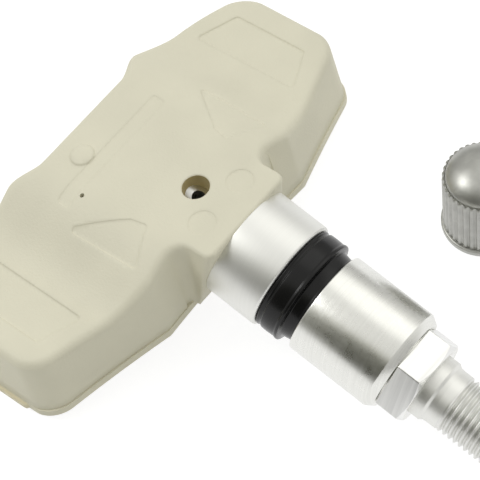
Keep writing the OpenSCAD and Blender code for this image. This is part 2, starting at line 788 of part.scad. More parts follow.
module core_gasket() {
    gap = running_gap / 2;
    color([0.85, 0.3, 0.15]) on_stem() turned([
        [gasket_bore_r + gap, depth(gasket_low - gap)],
        [lower_bore_r - running_gap, depth(gasket_low - gap)],
        [chamber_r - running_gap, depth(seat_from - running_gap)],
        [chamber_r - running_gap - 0.1, depth(gasket_top + gap)],
        [gasket_bore_r + gap, depth(gasket_top + gap)]
    ]);
}

pin_top = 0.3;
stop_top = flare_top + 0.6;
stop_t = 0.5;
cup_r = core_r - 0.15;
spring_r = (spring_chamber_r + pin_r) / 2;
spring_top = stop_top + stop_t + wire_r;
spring_end = spring_floor - wire_r;

module core_pin() {
    color([0.72, 0.6, 0.34]) on_stem() {
        bored(pin_r, depth(pin_low), depth(pin_top));
        bored(pin_r + 0.2, depth(pin_top + 0.5), depth(pin_top));
        bored(spring_chamber_r - 2 * running_gap, depth(stop_top + stop_t), depth(stop_top));
    }
}

module core_spring() {
    color([0.6, 0.61, 0.62]) on_stem() translate([depth(spring_end), 0, 0]) rotate([0, 90, 0])
        coil(spring_r, wire_r, spring_turns, spring_end - spring_top, 6, 14);
}

module core_seal() {
    color([0.1, 0.1, 0.1]) on_stem() difference() {
        bored(cup_seat_r, depth(seal_top + seal_t), depth(seal_top));
        bored(pin_r + moulded_gap, depth(seal_top + seal_t + 1), depth(seal_top - 1));
    }
}

module core_cup() {
    color([0.75, 0.63, 0.35]) on_stem() difference() {
        bored(cup_r, depth(cup_low), depth(seal_top + seal_t / 2));
        bored(cup_seat_r + moulded_gap, depth(seal_top + seal_t), depth(seal_top - 1));
        bored(pin_r + moulded_gap, depth(cup_low + 1), depth(seal_top - 1));
    }
}

// Cap

cap_bore_r = valve_r + 2 * running_gap;

module on_cap() {
    on_table() translate([cap_ahead, cap_aside, 0]) children();
}

module valve_cap() {
    root_r = cap_r - cap_rib_depth;
    step = 360 / cap_ribs;
    dome_r = cap_r - 0.5;
    ball_r = (dome_r * dome_r + cap_dome_h * cap_dome_h) / (2 * cap_dome_h);
    color([0.62, 0.63, 0.62]) on_cap() difference() {
        union() {
            cylinder(r = cap_flange_r, h = cap_flange_h);
            linear_extrude(cap_body_h) polygon([
                for (i = [0:cap_ribs - 1], p = [[root_r, 0], [root_r, 0.3], [cap_r, 0.5], [cap_r, 0.8]])
                    p[0] * [cos(step * (i + p[1])), sin(step * (i + p[1]))]
            ]);
            intersection() {
                cylinder(r = dome_r, h = cap_body_h + cap_dome_h);
                translate([0, 0, cap_body_h + cap_dome_h - ball_r]) sphere(r = ball_r);
            }
        }
        translate([0, 0, -1]) cylinder(r = cap_bore_r, h = cap_bore_l + 1);
        translate([0, 0, cap_bore_l - eps]) cylinder(r = cap_bore_r - 0.6, h = cap_seal_t + eps);
    }
}

module cap_seal() {
    color([0.1, 0.1, 0.1]) on_cap() translate([0, 0, cap_bore_l]) difference() {
        cylinder(r = cap_bore_r - 0.6 - moulded_gap, h = cap_seal_t - moulded_gap);
        translate([0, 0, -eps]) cylinder(r = 1, h = cap_seal_t / 2);
    }
}

case_shell();
bottom_cover();
potting_fill();
circuit_board();
battery_cell();
battery_plus_tab();
battery_minus_tab();
pressure_chip();
inlet_seal();
processor_chip();
crystal_can();
receiver_coil();
antenna_coil();
roll_switch();
small_parts();
valve_stem();
grommet();
thrust_washer();
clamp_nut();
core_plug();
core_barrel();
core_gasket();
core_spring();
core_pin();
core_cup();
core_seal();
valve_cap();
cap_seal();
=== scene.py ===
import json
import math

import bmesh
import bpy
import numpy as np
from mathutils import Matrix, Vector
from mathutils.geometry import delaunay_2d_cdt


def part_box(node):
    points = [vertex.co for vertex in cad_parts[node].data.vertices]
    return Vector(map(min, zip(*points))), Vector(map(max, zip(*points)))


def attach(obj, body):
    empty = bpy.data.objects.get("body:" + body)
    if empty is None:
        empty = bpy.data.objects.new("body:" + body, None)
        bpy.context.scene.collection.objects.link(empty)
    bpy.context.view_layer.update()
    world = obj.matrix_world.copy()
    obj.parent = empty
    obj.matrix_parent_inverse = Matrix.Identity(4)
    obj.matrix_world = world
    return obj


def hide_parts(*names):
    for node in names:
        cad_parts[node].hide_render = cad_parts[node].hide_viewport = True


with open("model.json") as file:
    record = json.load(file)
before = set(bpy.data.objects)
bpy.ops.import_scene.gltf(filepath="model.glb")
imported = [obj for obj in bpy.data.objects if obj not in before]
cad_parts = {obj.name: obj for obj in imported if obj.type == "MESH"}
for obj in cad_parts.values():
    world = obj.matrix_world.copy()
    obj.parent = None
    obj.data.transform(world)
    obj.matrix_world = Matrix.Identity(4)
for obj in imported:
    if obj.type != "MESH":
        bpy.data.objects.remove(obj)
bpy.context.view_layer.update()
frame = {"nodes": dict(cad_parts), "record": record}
record = frame["record"]
MM = 0.001

# ---- The frames, all sizes in millimetres until a mesh is made ----

# Case
WING_REACH, BACK_REACH, WING_SET_BACK, FRONT_REACH = 30.2, 19.9, 2.2, 3.4
BACK_TAPER, FRONT_TAPER, CORNER_R = 3.8, 6.1, 3.0
WING_DROP, FLAT_HALF, SLOPE_W, WING_FALL = 4.75, 8.0, 12.0, 0.5
CASE_H, WELL_R, COVER_T, LIP, DRAFT, WALL = 12.6, 115.0, 1.1, 0.4, 0.4, 1.4
EDGE_R, NECK_EDGE_R = 1.2, 0.55
STEP_Y, STEP_W, BACK_TAPER_Y, FRONT_TAPER_Y = 7.6, 5.0, 15.0, 13.3
NECK_HALF, NECK_DRAFT, NECK_LOW = 7.35, 0.9, -12.4
NECK_FILLET, NECK_FOOT_Y = 1.8, 9.6
STEM_ANGLE = math.radians(18)
AXIS_DEPTH, HOLE_X = 4.65, -15.6
# Stem
TAIL_R = 2.45
NECK_X, BARREL_R, SHAFT_R, SHAFT_L = -7.5, 7.5, 4.25, 23.2
VALVE_R, VALVE_NECK_X, THREAD_X, TIP_X, TIP_CHAMFER = 3.85, 24.2, 25.6, 36.0, 0.5
CHAMBER_R, LOWER_BORE_R, SEAT_FROM, SEAT_TO = 2.65, 2.05, 28.85, 27.8
THREAD_PITCH = 0.794
MOUNT_X = 29.85
# Grommet
GROMMET_X, FLANGE_R, FLANGE_T, GROMMET_NECK_R, GROMMET_END_X = 0.05, 7.15, 3.5, 6.35, 5.15
# Nut
NUT_X, SLEEVE_R, SLEEVE_L, NUT_CHAMFER_L, NUT_CHAMFER_R = 5.2, 6.95, 11.7, 1.05, 0.7
GROOVE_R, HEX_X, WAIST_L = 5.42, 18.08, 1.3
HEX_AF, HEX_L, HEX_TURN, HEX_CHAMFER = 11.1, 3.6, 56.0, 0.5
NUT_BORE_R, WASHER_POCKET_R, WASHER_POCKET_X = 4.3, 5.85, 6.25
# Cap
CAP_R, CAP_BODY_H, CAP_DOME_H, CAP_FLANGE_R, CAP_FLANGE_H = 5.2, 11.2, 2.4, 5.45, 1.0
CAP_RIBS, CAP_RIB_DEPTH, CAP_BORE_R, CAP_BORE_L = 36, 0.25, 3.95, 8.6

mount = next(m for m in record["mounts"] if m["name"] == "valve_thread")
STEM_AXIS = np.array(mount["axis"], float)
STEM_AXIS /= np.linalg.norm(STEM_AXIS)
STEM = np.column_stack([STEM_AXIS, [0.0, 1.0, 0.0], np.cross(STEM_AXIS, [0.0, 1.0, 0.0])])
STEM_ORIGIN = np.array(mount["pos_m"], float) - STEM_AXIS * MOUNT_X * MM
STEM_LIE = math.atan2(-STEM_AXIS[2], STEM_AXIS[0])


def stem_to_row(points):
    return STEM_ORIGIN + (np.asarray(points, float) * MM) @ STEM.T


def case_to_row(points):
    p = np.asarray(points, float)
    u, y, w = p[:, 0], p[:, 1], p[:, 2]
    c, s = math.cos(STEM_ANGLE), math.sin(STEM_ANGLE)
    return stem_to_row(np.column_stack([HOLE_X + u * c - w * s, y, AXIS_DEPTH + u * s + w * c]))


def row_to_case(points):
    p = (np.asarray(points, float) - STEM_ORIGIN) / MM @ STEM
    x, z = p[:, 0] - HOLE_X, p[:, 2] - AXIS_DEPTH
    c, s = math.cos(STEM_ANGLE), math.sin(STEM_ANGLE)
    return np.column_stack([x * c + z * s, p[:, 1], z * c - x * s])


cap_low, cap_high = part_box("valve_cap")
CAP_FOOT = np.array([(cap_low.x + cap_high.x) / 2, (cap_low.y + cap_high.y) / 2, cap_low.z])


def cap_to_row(points):
    return CAP_FOOT + np.asarray(points, float) * MM


# ---- Meshes ----


def add_piece(name, points, faces, material, body, nodes=(), angle=35.0, to_row=None):
    """A smooth-shaded mesh piece whose edges over the angle stay sharp."""
    rows = points if to_row is None else to_row(points)
    mesh = bpy.data.meshes.new(name)
    mesh.from_pydata([tuple(map(float, p)) for p in rows], [], [list(map(int, f)) for f in faces])
    bm = bmesh.new()
    bm.from_mesh(mesh)
    bmesh.ops.remove_doubles(bm, verts=bm.verts, dist=4e-7)
    bmesh.ops.dissolve_degenerate(bm, edges=bm.edges, dist=1e-7)
    bm.to_mesh(mesh)
    bm.free()
    mesh.polygons.foreach_set("use_smooth", [True] * len(mesh.polygons))
    mesh.set_sharp_from_angle(angle=math.radians(angle))
    mesh.materials.append(material)
    obj = bpy.data.objects.new(name, mesh)
    bpy.context.scene.collection.objects.link(obj)
    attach(obj, body)
    if nodes:
        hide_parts(*nodes)
    return obj


def grid_faces(rows, columns, wrap=True, first=0):
    faces = []
    span = columns if wrap else columns - 1
    for i in range(rows - 1):
        for j in range(span):
            k = (j + 1) % columns
            a = first + i * columns
            faces.append([a + j, a + k, a + columns + k, a + columns + j])
    return faces


def arc(centre, start, end, steps):
    """Points round a centre, from one offset to another."""
    turn = math.atan2(start[0] * end[1] - start[1] * end[0], float(start @ end))
    for k in range(steps + 1):
        t = turn * k / steps
        c, s = math.cos(t), math.sin(t)
        yield centre + np.array([start[0] * c - start[1] * s, start[0] * s + start[1] * c])


def rounded(points, steps=4):
    """A profile of (x, r, rounding) with arcs at its corners, always the same number of points."""
    out = []
    for i, item in enumerate(points):
        p = np.array(item[:2], float)
        radius = item[2] if len(item) > 2 else 0.0
        if not radius or i in (0, len(points) - 1):
            out.append(p)
            continue
        a = np.array(points[i - 1][:2], float) - p
        b = np.array(points[i + 1][:2], float) - p
        la, lb = np.linalg.norm(a), np.linalg.norm(b)
        if la < 1e-6 or lb < 1e-6:
            out.extend([p] * (steps + 1))
            continue
        a, b = a / la, b / lb
        half = math.acos(max(-1.0, min(1.0, float(a @ b)))) / 2
        if half > math.radians(89.5) or half < math.radians(1):
            out.extend([p] * (steps + 1))
            continue
        reach = min(radius / math.tan(half), 0.45 * la, 0.45 * lb)
        r = reach * math.tan(half)
        middle = a + b
        centre = p + middle / np.linalg.norm(middle) * (r / math.sin(half))
        out.extend(arc(centre, p + a * reach - centre, p + b * reach - centre, steps))
    return np.array(out)


def lathe_stem(profile, n=192):
    """Rings of a (x, r) profile about the stem's axis."""
    t = np.linspace(0, 2 * math.pi, n, endpoint=False)
    points = np.concatenate(
        [np.column_stack([np.full(n, x), r * np.cos(t), r * np.sin(t)]) for x, r in profile]
    )
    return points, grid_faces(len(profile), n)


def smooth(t):
    c = np.clip(t, 0, 1)
    return c * c * (3 - 2 * c)


# ---- Materials ----


def new_material(name):
    m = bpy.data.materials.new(name)
    m.use_nodes = True
    tree = m.node_tree
    shader = next(n for n in tree.nodes if n.type == "BSDF_PRINCIPLED")
    return m, tree, shader


def link(tree, a, b):
    tree.links.new(a, b)


def object_coords(tree, turned_to_stem=False, scale=(1, 1, 1)):
    coords = tree.nodes.new("ShaderNodeTexCoord")
    mapping = tree.nodes.new("ShaderNodeMapping")
    mapping.vector_type = "POINT"
    link(tree, coords.outputs["Object"], mapping.inputs["Vector"])
    if turned_to_stem:
        mapping.inputs["Rotation"].default_value = (0.0, -STEM_LIE, 0.0)
    mapping.inputs["Scale"].default_value = scale
    return mapping.outputs["Vector"]


def noise(tree, vector, scale, detail=2.0, roughness=0.5):
    n = tree.nodes.new("ShaderNodeTexNoise")
    n.inputs["Scale"].default_value = scale
    n.inputs["Detail"].default_value = detail
    n.inputs["Roughness"].default_value = roughness
    link(tree, vector, n.inputs["Vector"])
    return n.outputs["Fac"]


def ramp(tree, value, stops):
    r = tree.nodes.new("ShaderNodeValToRGB")
    r.color_ramp.elements[0].position = stops[0][0]
    r.color_ramp.elements[0].color = stops[0][1]
    r.color_ramp.elements[1].position = stops[-1][0]
    r.color_ramp.elements[1].color = stops[-1][1]
    for position, colour in stops[1:-1]:
        e = r.color_ramp.elements.new(position)
        e.color = colour
    link(tree, value, r.inputs["Fac"])
    return r.outputs["Color"]


def grey(v):
    return (v, v, v, 1.0)


def bump(tree, shader, height, strength, distance):
    b = tree.nodes.new("ShaderNodeBump")
    b.inputs["Strength"].default_value = strength
    b.inputs["Distance"].default_value = distance
    link(tree, height, b.inputs["Height"])
    link(tree, b.outputs["Normal"], shader.inputs["Normal"])


def plastic(name, colour, roughness, grain=0.25, spread=0.03, specular=0.4, size=4200.0):
    m, tree, shader = new_material(name)
    v = object_coords(tree)
    soft = noise(tree, v, 120.0, 3.0)
    low = tuple(c * (1 - spread) for c in colour) + (1.0,)
    high = tuple(min(1.0, c * (1 + spread)) for c in colour) + (1.0,)
    link(tree, ramp(tree, soft, [(0.3, low), (0.7, high)]), shader.inputs["Base Color"])
    shader.inputs["Roughness"].default_value = roughness
    shader.inputs["Specular IOR Level"].default_value = specular
    bump(tree, shader, noise(tree, v, size, 2.0, 0.6), grain, 0.00004)
    return m


def metal(name, colour, roughness, line=0.0, line_scale=(9000.0, 60.0, 60.0), spread=0.05, patch=0.0):
    """A metal with fine lines round the stem, and patches of roughness."""
    m, tree, shader = new_material(name)
    shader.inputs["Metallic"].default_value = 1.0
    flat = object_coords(tree)
    around = object_coords(tree, True, line_scale)
    lines = noise(tree, around, 1.0, 3.0, 0.65)
    low = tuple(c * (1 - spread) for c in colour) + (1.0,)
    high = tuple(min(1.0, c * (1 + spread)) for c in colour) + (1.0,)
    link(tree, ramp(tree, lines, [(0.3, low), (0.7, high)]), shader.inputs["Base Color"])
    if patch:
        cloud = noise(tree, flat, 900.0, 4.0, 0.7)
        spots = ramp(tree, cloud, [(0.35, grey(roughness)), (0.7, grey(roughness + patch))])
        link(tree, spots, shader.inputs["Roughness"])
    else:
        shader.inputs["Roughness"].default_value = roughness
    if line:
        bump(tree, shader, lines, line, 0.00002)
    return m


def plain(name, colour, roughness, metallic=0.0, specular=0.5):
    m, tree, shader = new_material(name)
    v = object_coords(tree)
    low = tuple(c * 0.93 for c in colour) + (1.0,)
    high = tuple(min(1.0, c * 1.07) for c in colour) + (1.0,)
    mottled = noise(tree, v, 700.0, 2.0)
    link(tree, ramp(tree, mottled, [(0.35, low), (0.65, high)]), shader.inputs["Base Color"])
    shader.inputs["Roughness"].default_value = roughness
    shader.inputs["Metallic"].default_value = metallic
    shader.inputs["Specular IOR Level"].default_value = specular
    return m


cream = plastic("cream", (0.715, 0.690, 0.552), 0.55, grain=0.8, size=3000.0)
# The air hole's wall is the case's cream plastic; its darker brown colour is painted shade and warm
# bounced light deep inside the hole
hole_painted_shade = plastic("hole_painted_shade", (0.52, 0.44, 0.23), 0.5, spread=0.06)
cover_cream = plastic("cover_cream", (0.715, 0.685, 0.54), 0.55, grain=0.8, size=3000.0)
lip_cream = plastic("lip_cream", (0.74, 0.68, 0.49), 0.5)
milled = metal(
    "milled_aluminium",
    (0.89, 0.89, 0.87),
    0.28,
    line=0.7,
    line_scale=(1300.0, 30.0, 30.0),
    spread=0.11,
)
satin = metal("satin_aluminium", (0.86, 0.86, 0.825), 0.46, line=0.10, spread=0.02)
bright = metal("bright_aluminium", (0.84, 0.84, 0.80), 0.26, line=0.20, spread=0.05, patch=0.07)
turned = metal("turned_aluminium", (0.80, 0.80, 0.77), 0.40, line=0.12, spread=0.03)
rubber = plain("rubber", (0.006, 0.006, 0.006), 0.24, specular=0.30)
cap_paint = plain("cap_paint", (0.45, 0.45, 0.42), 0.38, metallic=0.8)
brass = plain("brass", (0.62, 0.46, 0.18), 0.3, metallic=1.0)
steel = plain("steel", (0.58, 0.58, 0.59), 0.3, metallic=1.0)
resin = plain("resin", (0.04, 0.04, 0.035), 0.5)
board_green = plain("board_green", (0.02, 0.12, 0.05), 0.4)
chip_black = plain("chip_black", (0.015, 0.015, 0.017), 0.45)
silicone = plain("silicone", (0.42, 0.10, 0.05), 0.5)
ferrite = plain("ferrite", (0.04, 0.035, 0.035), 0.6)
copper = plain("copper", (0.60, 0.26, 0.12), 0.35, metallic=1.0)
ceramic = plain("ceramic", (0.32, 0.22, 0.13), 0.5)
gasket_red = plain("gasket_red", (0.55, 0.08, 0.03), 0.4)

CAD_LOOKS = {
    "circuit_board": (board_green, "board"),
    "battery_cell": (steel, "cell_steel"),
    "battery_plus_tab": (steel, "tab_steel"),
    "battery_minus_tab": (steel, "tab_steel"),
    "pressure_chip": (chip_black, "chip_black"),
    "inlet_seal": (silicone, "silicone"),
    "processor_chip": (chip_black, "chip_black"),
    "crystal_can": (steel, "can_steel"),
    "receiver_coil": (ferrite, "ferrite"),
    "antenna_coil": (copper, "copper_wire"),
    "roll_switch": (brass, "brass"),
    "small_parts": (ceramic, "ceramic_parts"),
    "thrust_washer": (steel, "washer_steel"),
    "core_plug": (brass, "brass"),
    "core_barrel": (brass, "brass"),
    "core_gasket": (gasket_red, "gasket_red"),
    "core_spring": (steel, "spring_steel"),
    "core_pin": (brass, "brass"),
    "core_cup": (brass, "brass"),
    "core_seal": (rubber, "rubber_black"),
    "cap_seal": (rubber, "rubber_black"),
}
for node, (look, slot_name) in CAD_LOOKS.items():
    obj = frame["nodes"][node]
    obj.data.materials.clear()
    obj.data.materials.append(look)

# ---- Case: one skin over wings, middle and neck ----


def beyond(y, start):
    return np.maximum(0, np.abs(y) - start) / (WING_REACH - start)


def corner_in(y):
    s = np.maximum(0, np.abs(y) - (WING_REACH - CORNER_R))
    return CORNER_R - np.sqrt(np.maximum(0, CORNER_R**2 - s**2))


def top_at(y):
    """Height of the top before its recesses."""
    drop = WING_DROP * smooth((np.abs(y) - FLAT_HALF) / SLOPE_W)
    return -drop - WING_FALL * beyond(y, FLAT_HALF + SLOPE_W)


def back_at(y):
    step = WING_SET_BACK * smooth((np.abs(y) - STEP_Y) / STEP_W)
    return -BACK_REACH - step + BACK_TAPER * beyond(y, BACK_TAPER_Y) ** 2 + corner_in(y)


def front_at(y):
    return FRONT_REACH - FRONT_TAPER * beyond(y, FRONT_TAPER_Y) - corner_in(y)


def low_at(y):
    """Height of the underside, which follows the wheel's well."""
    return np.sqrt(WELL_R**2 - np.square(y)) - WELL_R - CASE_H


def foot_at(u, y):
    """The underside, no lower than the table that the sensor lies on."""
    u, y = np.broadcast_arrays(np.asarray(u, float), np.asarray(y, float))
    flat = np.zeros(u.size)
    at_zero = case_to_row(np.column_stack([u.ravel(), flat, flat]))[:, 2]
    at_one = case_to_row(np.column_stack([u.ravel(), flat, flat + 1]))[:, 2]
    table = (-at_zero / (at_one - at_zero)).reshape(u.shape)
    return np.maximum(low_at(y), table + 0.02)


def neck_front(w):
    """Place of the neck's front face at height w."""
    c, s = math.cos(STEM_ANGLE), math.sin(STEM_ANGLE)
    return (NECK_X - HOLE_X + w * s) / c


def half_neck():
    """Half of the neck's outline, from the fillet's foot to the middle.

    A row holds the top point (u, y), the bottom point (u, y, w) and the rounding.
    """
    low_u = neck_front(NECK_LOW)
    foot_low = low_u - FRONT_REACH
    top_u = neck_front(0.0)
    low_half = NECK_HALF + NECK_DRAFT
    rows = []
    for k in range(11):
        t = math.pi / 2 * (1 - k / 10)
        out, across = 1 - math.sin(t), math.cos(t)
        top = (FRONT_REACH + NECK_FILLET * out, NECK_FOOT_Y - (NECK_FOOT_Y - NECK_HALF) * across)
        low = (FRONT_REACH + foot_low * out, NECK_FOOT_Y - (NECK_FOOT_Y - low_half) * across)
        radius = EDGE_R + (NECK_EDGE_R - EDGE_R) * k / 10
        rows.append((*top, *low, NECK_LOW, radius))
    plan_r, low_corner = 1.2, 0.2
    start = FRONT_REACH + NECK_FILLET
    for k in range(1, 9):
        u = start + (top_u - plan_r - start) * k / 8
        rows.append((u, NECK_HALF, low_u, low_half, NECK_LOW, NECK_EDGE_R))
    for k in range(1, 7):
        t = math.pi / 2 * k / 6
        u = top_u - plan_r * (1 - math.sin(t))
        y = NECK_HALF - plan_r * (1 - math.cos(t))
        rows.append((u, y, low_u, low_half - low_corner * k / 6, NECK_LOW, NECK_EDGE_R))
    end_y = NECK_HALF - plan_r
    for k in range(1, 17):
        y = end_y * (1 - k / 16)
        low_y = y * (low_half - low_corner) / end_y
        rows.append((top_u, y, low_u, low_y, NECK_LOW, NECK_EDGE_R))
    return rows


def case_outline():
    corner = [WING_REACH - CORNER_R + CORNER_R * math.sin(math.pi / 2 * k / 14) for k in range(1, 15)]
    straight = WING_REACH - CORNER_R
    ahead = list(np.linspace(NECK_FOOT_Y, straight, 46)) + corner
    right = [(float(front_at(y)), y, None, None, None, EDGE_R) for y in ahead]
    left = [(u, -y, None, None, w, r) for (u, y, _, _, w, r) in right[::-1]]
    neck = half_neck()
    neck_left = [(u, -y, lu, -ly, w, r) for (u, y, lu, ly, w, r) in neck]
    front = left + neck_left + neck[::-1][1:] + right
    end_front, end_back = float(front_at(WING_REACH)), float(back_at(WING_REACH))
    steps = 24
    end = [
        (end_front + (end_back - end_front) * k / steps, WING_REACH, None, None, None, EDGE_R)
        for k in range(1, steps)
    ]
    behind = [-y for y in corner[::-1]] + list(np.linspace(-straight, straight, 150)) + corner
    rear = [(float(back_at(y)), y, None, None, None, EDGE_R) for y in behind[::-1]]
    other_end = [(u, -y, None, None, w, r) for (u, y, _, _, w, r) in end[::-1]]
    return front + end + rear + other_end


def drop_repeats(rows):
    kept = []
    for r in rows:
        if kept and math.dist(kept[-1][:2], r[:2]) < 1e-6 and kept[-1][4] == r[4]:
            continue
        kept.append(r)
    return kept


def normals_of(loop):
    """Inward vectors at the corners of a counterclockwise loop, each one from both its edges."""
    before, after = np.roll(loop, 1, 0), np.roll(loop, -1, 0)
    e1, e2 = loop - before, after - loop
    l1, l2 = (np.linalg.norm(e, axis=1)[:, None] for e in (e1, e2))
    unit1, unit2 = e1 / np.maximum(l1, 1e-9), e2 / np.maximum(l2, 1e-9)
    e1 = np.where(l1 > 1e-9, unit1, unit2)
    e2 = np.where(l2 > 1e-9, unit2, e1)
    n1 = np.column_stack([-e1[:, 1], e1[:, 0]])
    n2 = np.column_stack([-e2[:, 1], e2[:, 0]])
    return (n1 + n2) / (1 + np.sum(n1 * n2, axis=1))[:, None]


def inside(points, loop):
    """Which points lie inside a loop."""
    x, y = points[:, 0], points[:, 1]
    odd = np.zeros(len(points), bool)
    a, b = loop, np.roll(loop, -1, 0)
    for (ax, ay), (bx, by) in zip(a, b):
        if ay == by:
            continue
        crosses = (ay > y) != (by > y)
        odd ^= crosses & (x < (bx - ax) * (y - ay) / (by - ay) + ax)
    return odd


def distance(points, loop):
    best = np.full(len(points), 1e9)
    a, b = loop, np.roll(loop, -1, 0)
    for p, q in zip(a, b):
        d = q - p
        length = float(d @ d)
        if length < 1e-12:
            continue
        t = np.clip(((points - p) @ d) / length, 0, 1)
        best = np.minimum(best, np.linalg.norm(points - (p + t[:, None] * d), axis=1))
    return best


def rounded_loop(corners, radius, spacing=0.35):
    """A dense counterclockwise loop with rounded corners."""
    c = np.array(corners, float)
    area = np.sum(c[:, 0] * np.roll(c[:, 1], -1) - c[:, 1] * np.roll(c[:, 0], -1))
    if area < 0:
        c = c[::-1]
    out = []
    n = len(c)
    for i in range(n):
        p, a, b = c[i], c[i - 1] - c[i], c[(i + 1) % n] - c[i]
        la, lb = np.linalg.norm(a), np.linalg.norm(b)
        a, b = a / la, b / lb
        half = math.acos(float(a @ b)) / 2
        reach = min(radius / math.tan(half), 0.3 * la, 0.3 * lb)
        r = reach * math.tan(half)
        centre = p + (a + b) / np.linalg.norm(a + b) * (r / math.sin(half))
        out.extend(arc(centre, p + a * reach - centre, p + b * reach - centre, 5))
        nxt, after = c[(i + 1) % n], c[(i + 2) % n]
        a2, b2 = (p - nxt) / lb, after - nxt
        lb2 = np.linalg.norm(b2)
        half2 = math.acos(float(a2 @ (b2 / lb2))) / 2
        reach2 = min(radius / math.tan(half2), 0.3 * lb, 0.3 * lb2)
        start, end = p + b * reach, nxt + a2 * reach2
        steps = max(2, int(np.linalg.norm(end - start) / spacing))
        out.extend(start + (end - start) * k / steps for k in range(1, steps))
    return np.array(out)


def circle(u, y, r, n):
    t = np.linspace(0, 2 * math.pi, n, endpoint=False)
    return np.column_stack([u + r * np.cos(t), y + r * np.sin(t)])


FIELD = [(-16.5, 26.3), (-5, 26.4), (-2.2, 20.7), (-18.8, 20.4)]
TRIANGLE = [(-11.3, 13.1), (-3.8, 8.1), (-1.4, 7.6), (0.7, 12.8)]
BAR = [(-14.1, -11), (-12.1, -11), (-12.1, 8), (-14.1, 8)]
FIELD_DEPTH, FIELD_Y = 0.17, 20.4
EJECTOR_U, EJECTOR_Y, EJECTOR_R, EJECTOR_DEPTH = 4.2, 3.65, 1.8, 0.1


def field_floor(y):
    fall = WING_FALL / (WING_REACH - (FLAT_HALF + SLOPE_W))
    return float(top_at(FIELD_Y)) - FIELD_DEPTH - fall * (np.abs(y) - FIELD_Y)


def triangle_floor(y):
    return top_at(y) - 0.8 * FIELD_DEPTH


def ejector_floor(y):
    return top_at(y) - EJECTOR_DEPTH


def mirror(corners):
    return [(u, -y) for u, y in corners]


RECESSES = [
    (rounded_loop(FIELD, 0.5), field_floor),
    (rounded_loop(mirror(FIELD), 0.5), field_floor),
    (rounded_loop(TRIANGLE, 0.45), triangle_floor),
    (rounded_loop(mirror(TRIANGLE), 0.45), triangle_floor),
    (rounded_loop(BAR, 0.4), lambda y: top_at(y) - FIELD_DEPTH / 2),
    (circle(EJECTOR_U, EJECTOR_Y, EJECTOR_R, 40), ejector_floor),
    (circle(EJECTOR_U, -EJECTOR_Y, EJECTOR_R, 40), ejector_floor),
]
DIMPLE = (-15.6, -4.2, 1.6, 0.5)
HOLE_R, HOLE_EDGE, HOLE_LIP = 1.80, 1.98, 0.12
INLET, INLET_R = (-11.5, -8.8), 0.3


def surface(points):
    """Height of the case's top with its recesses and dimple."""
    w = np.array(top_at(points[:, 1]), float)
    base = w.copy()
    for loop, floor in RECESSES:
        near = np.where(
            (points[:, 0] > loop[:, 0].min() - 0.3)
            & (points[:, 0] < loop[:, 0].max() + 0.3)
            & (points[:, 1] > loop[:, 1].min() - 0.3)
            & (points[:, 1] < loop[:, 1].max() + 0.3)
        )[0]
        if len(near) == 0:
            continue
        p = points[near]
        d = distance(p, loop) * np.where(inside(p, loop), 1, -1)
        share = smooth((d + 0.05) / 0.14)
        low = np.minimum(base[near], floor(p[:, 1]))
        w[near] = base[near] * (1 - share) + low * share
    du, dy, r, h = DIMPLE
    d = np.hypot(points[:, 0] - du, points[:, 1] - dy)
    ball = 3 * r
    dome = h - (ball - np.sqrt(np.maximum(0, ball**2 - d**2)))
    rise = smooth((r + 0.12 - d) / 0.24)
    w += np.where(d < r + 0.12, rise * np.maximum(0, dome), 0)
    return w


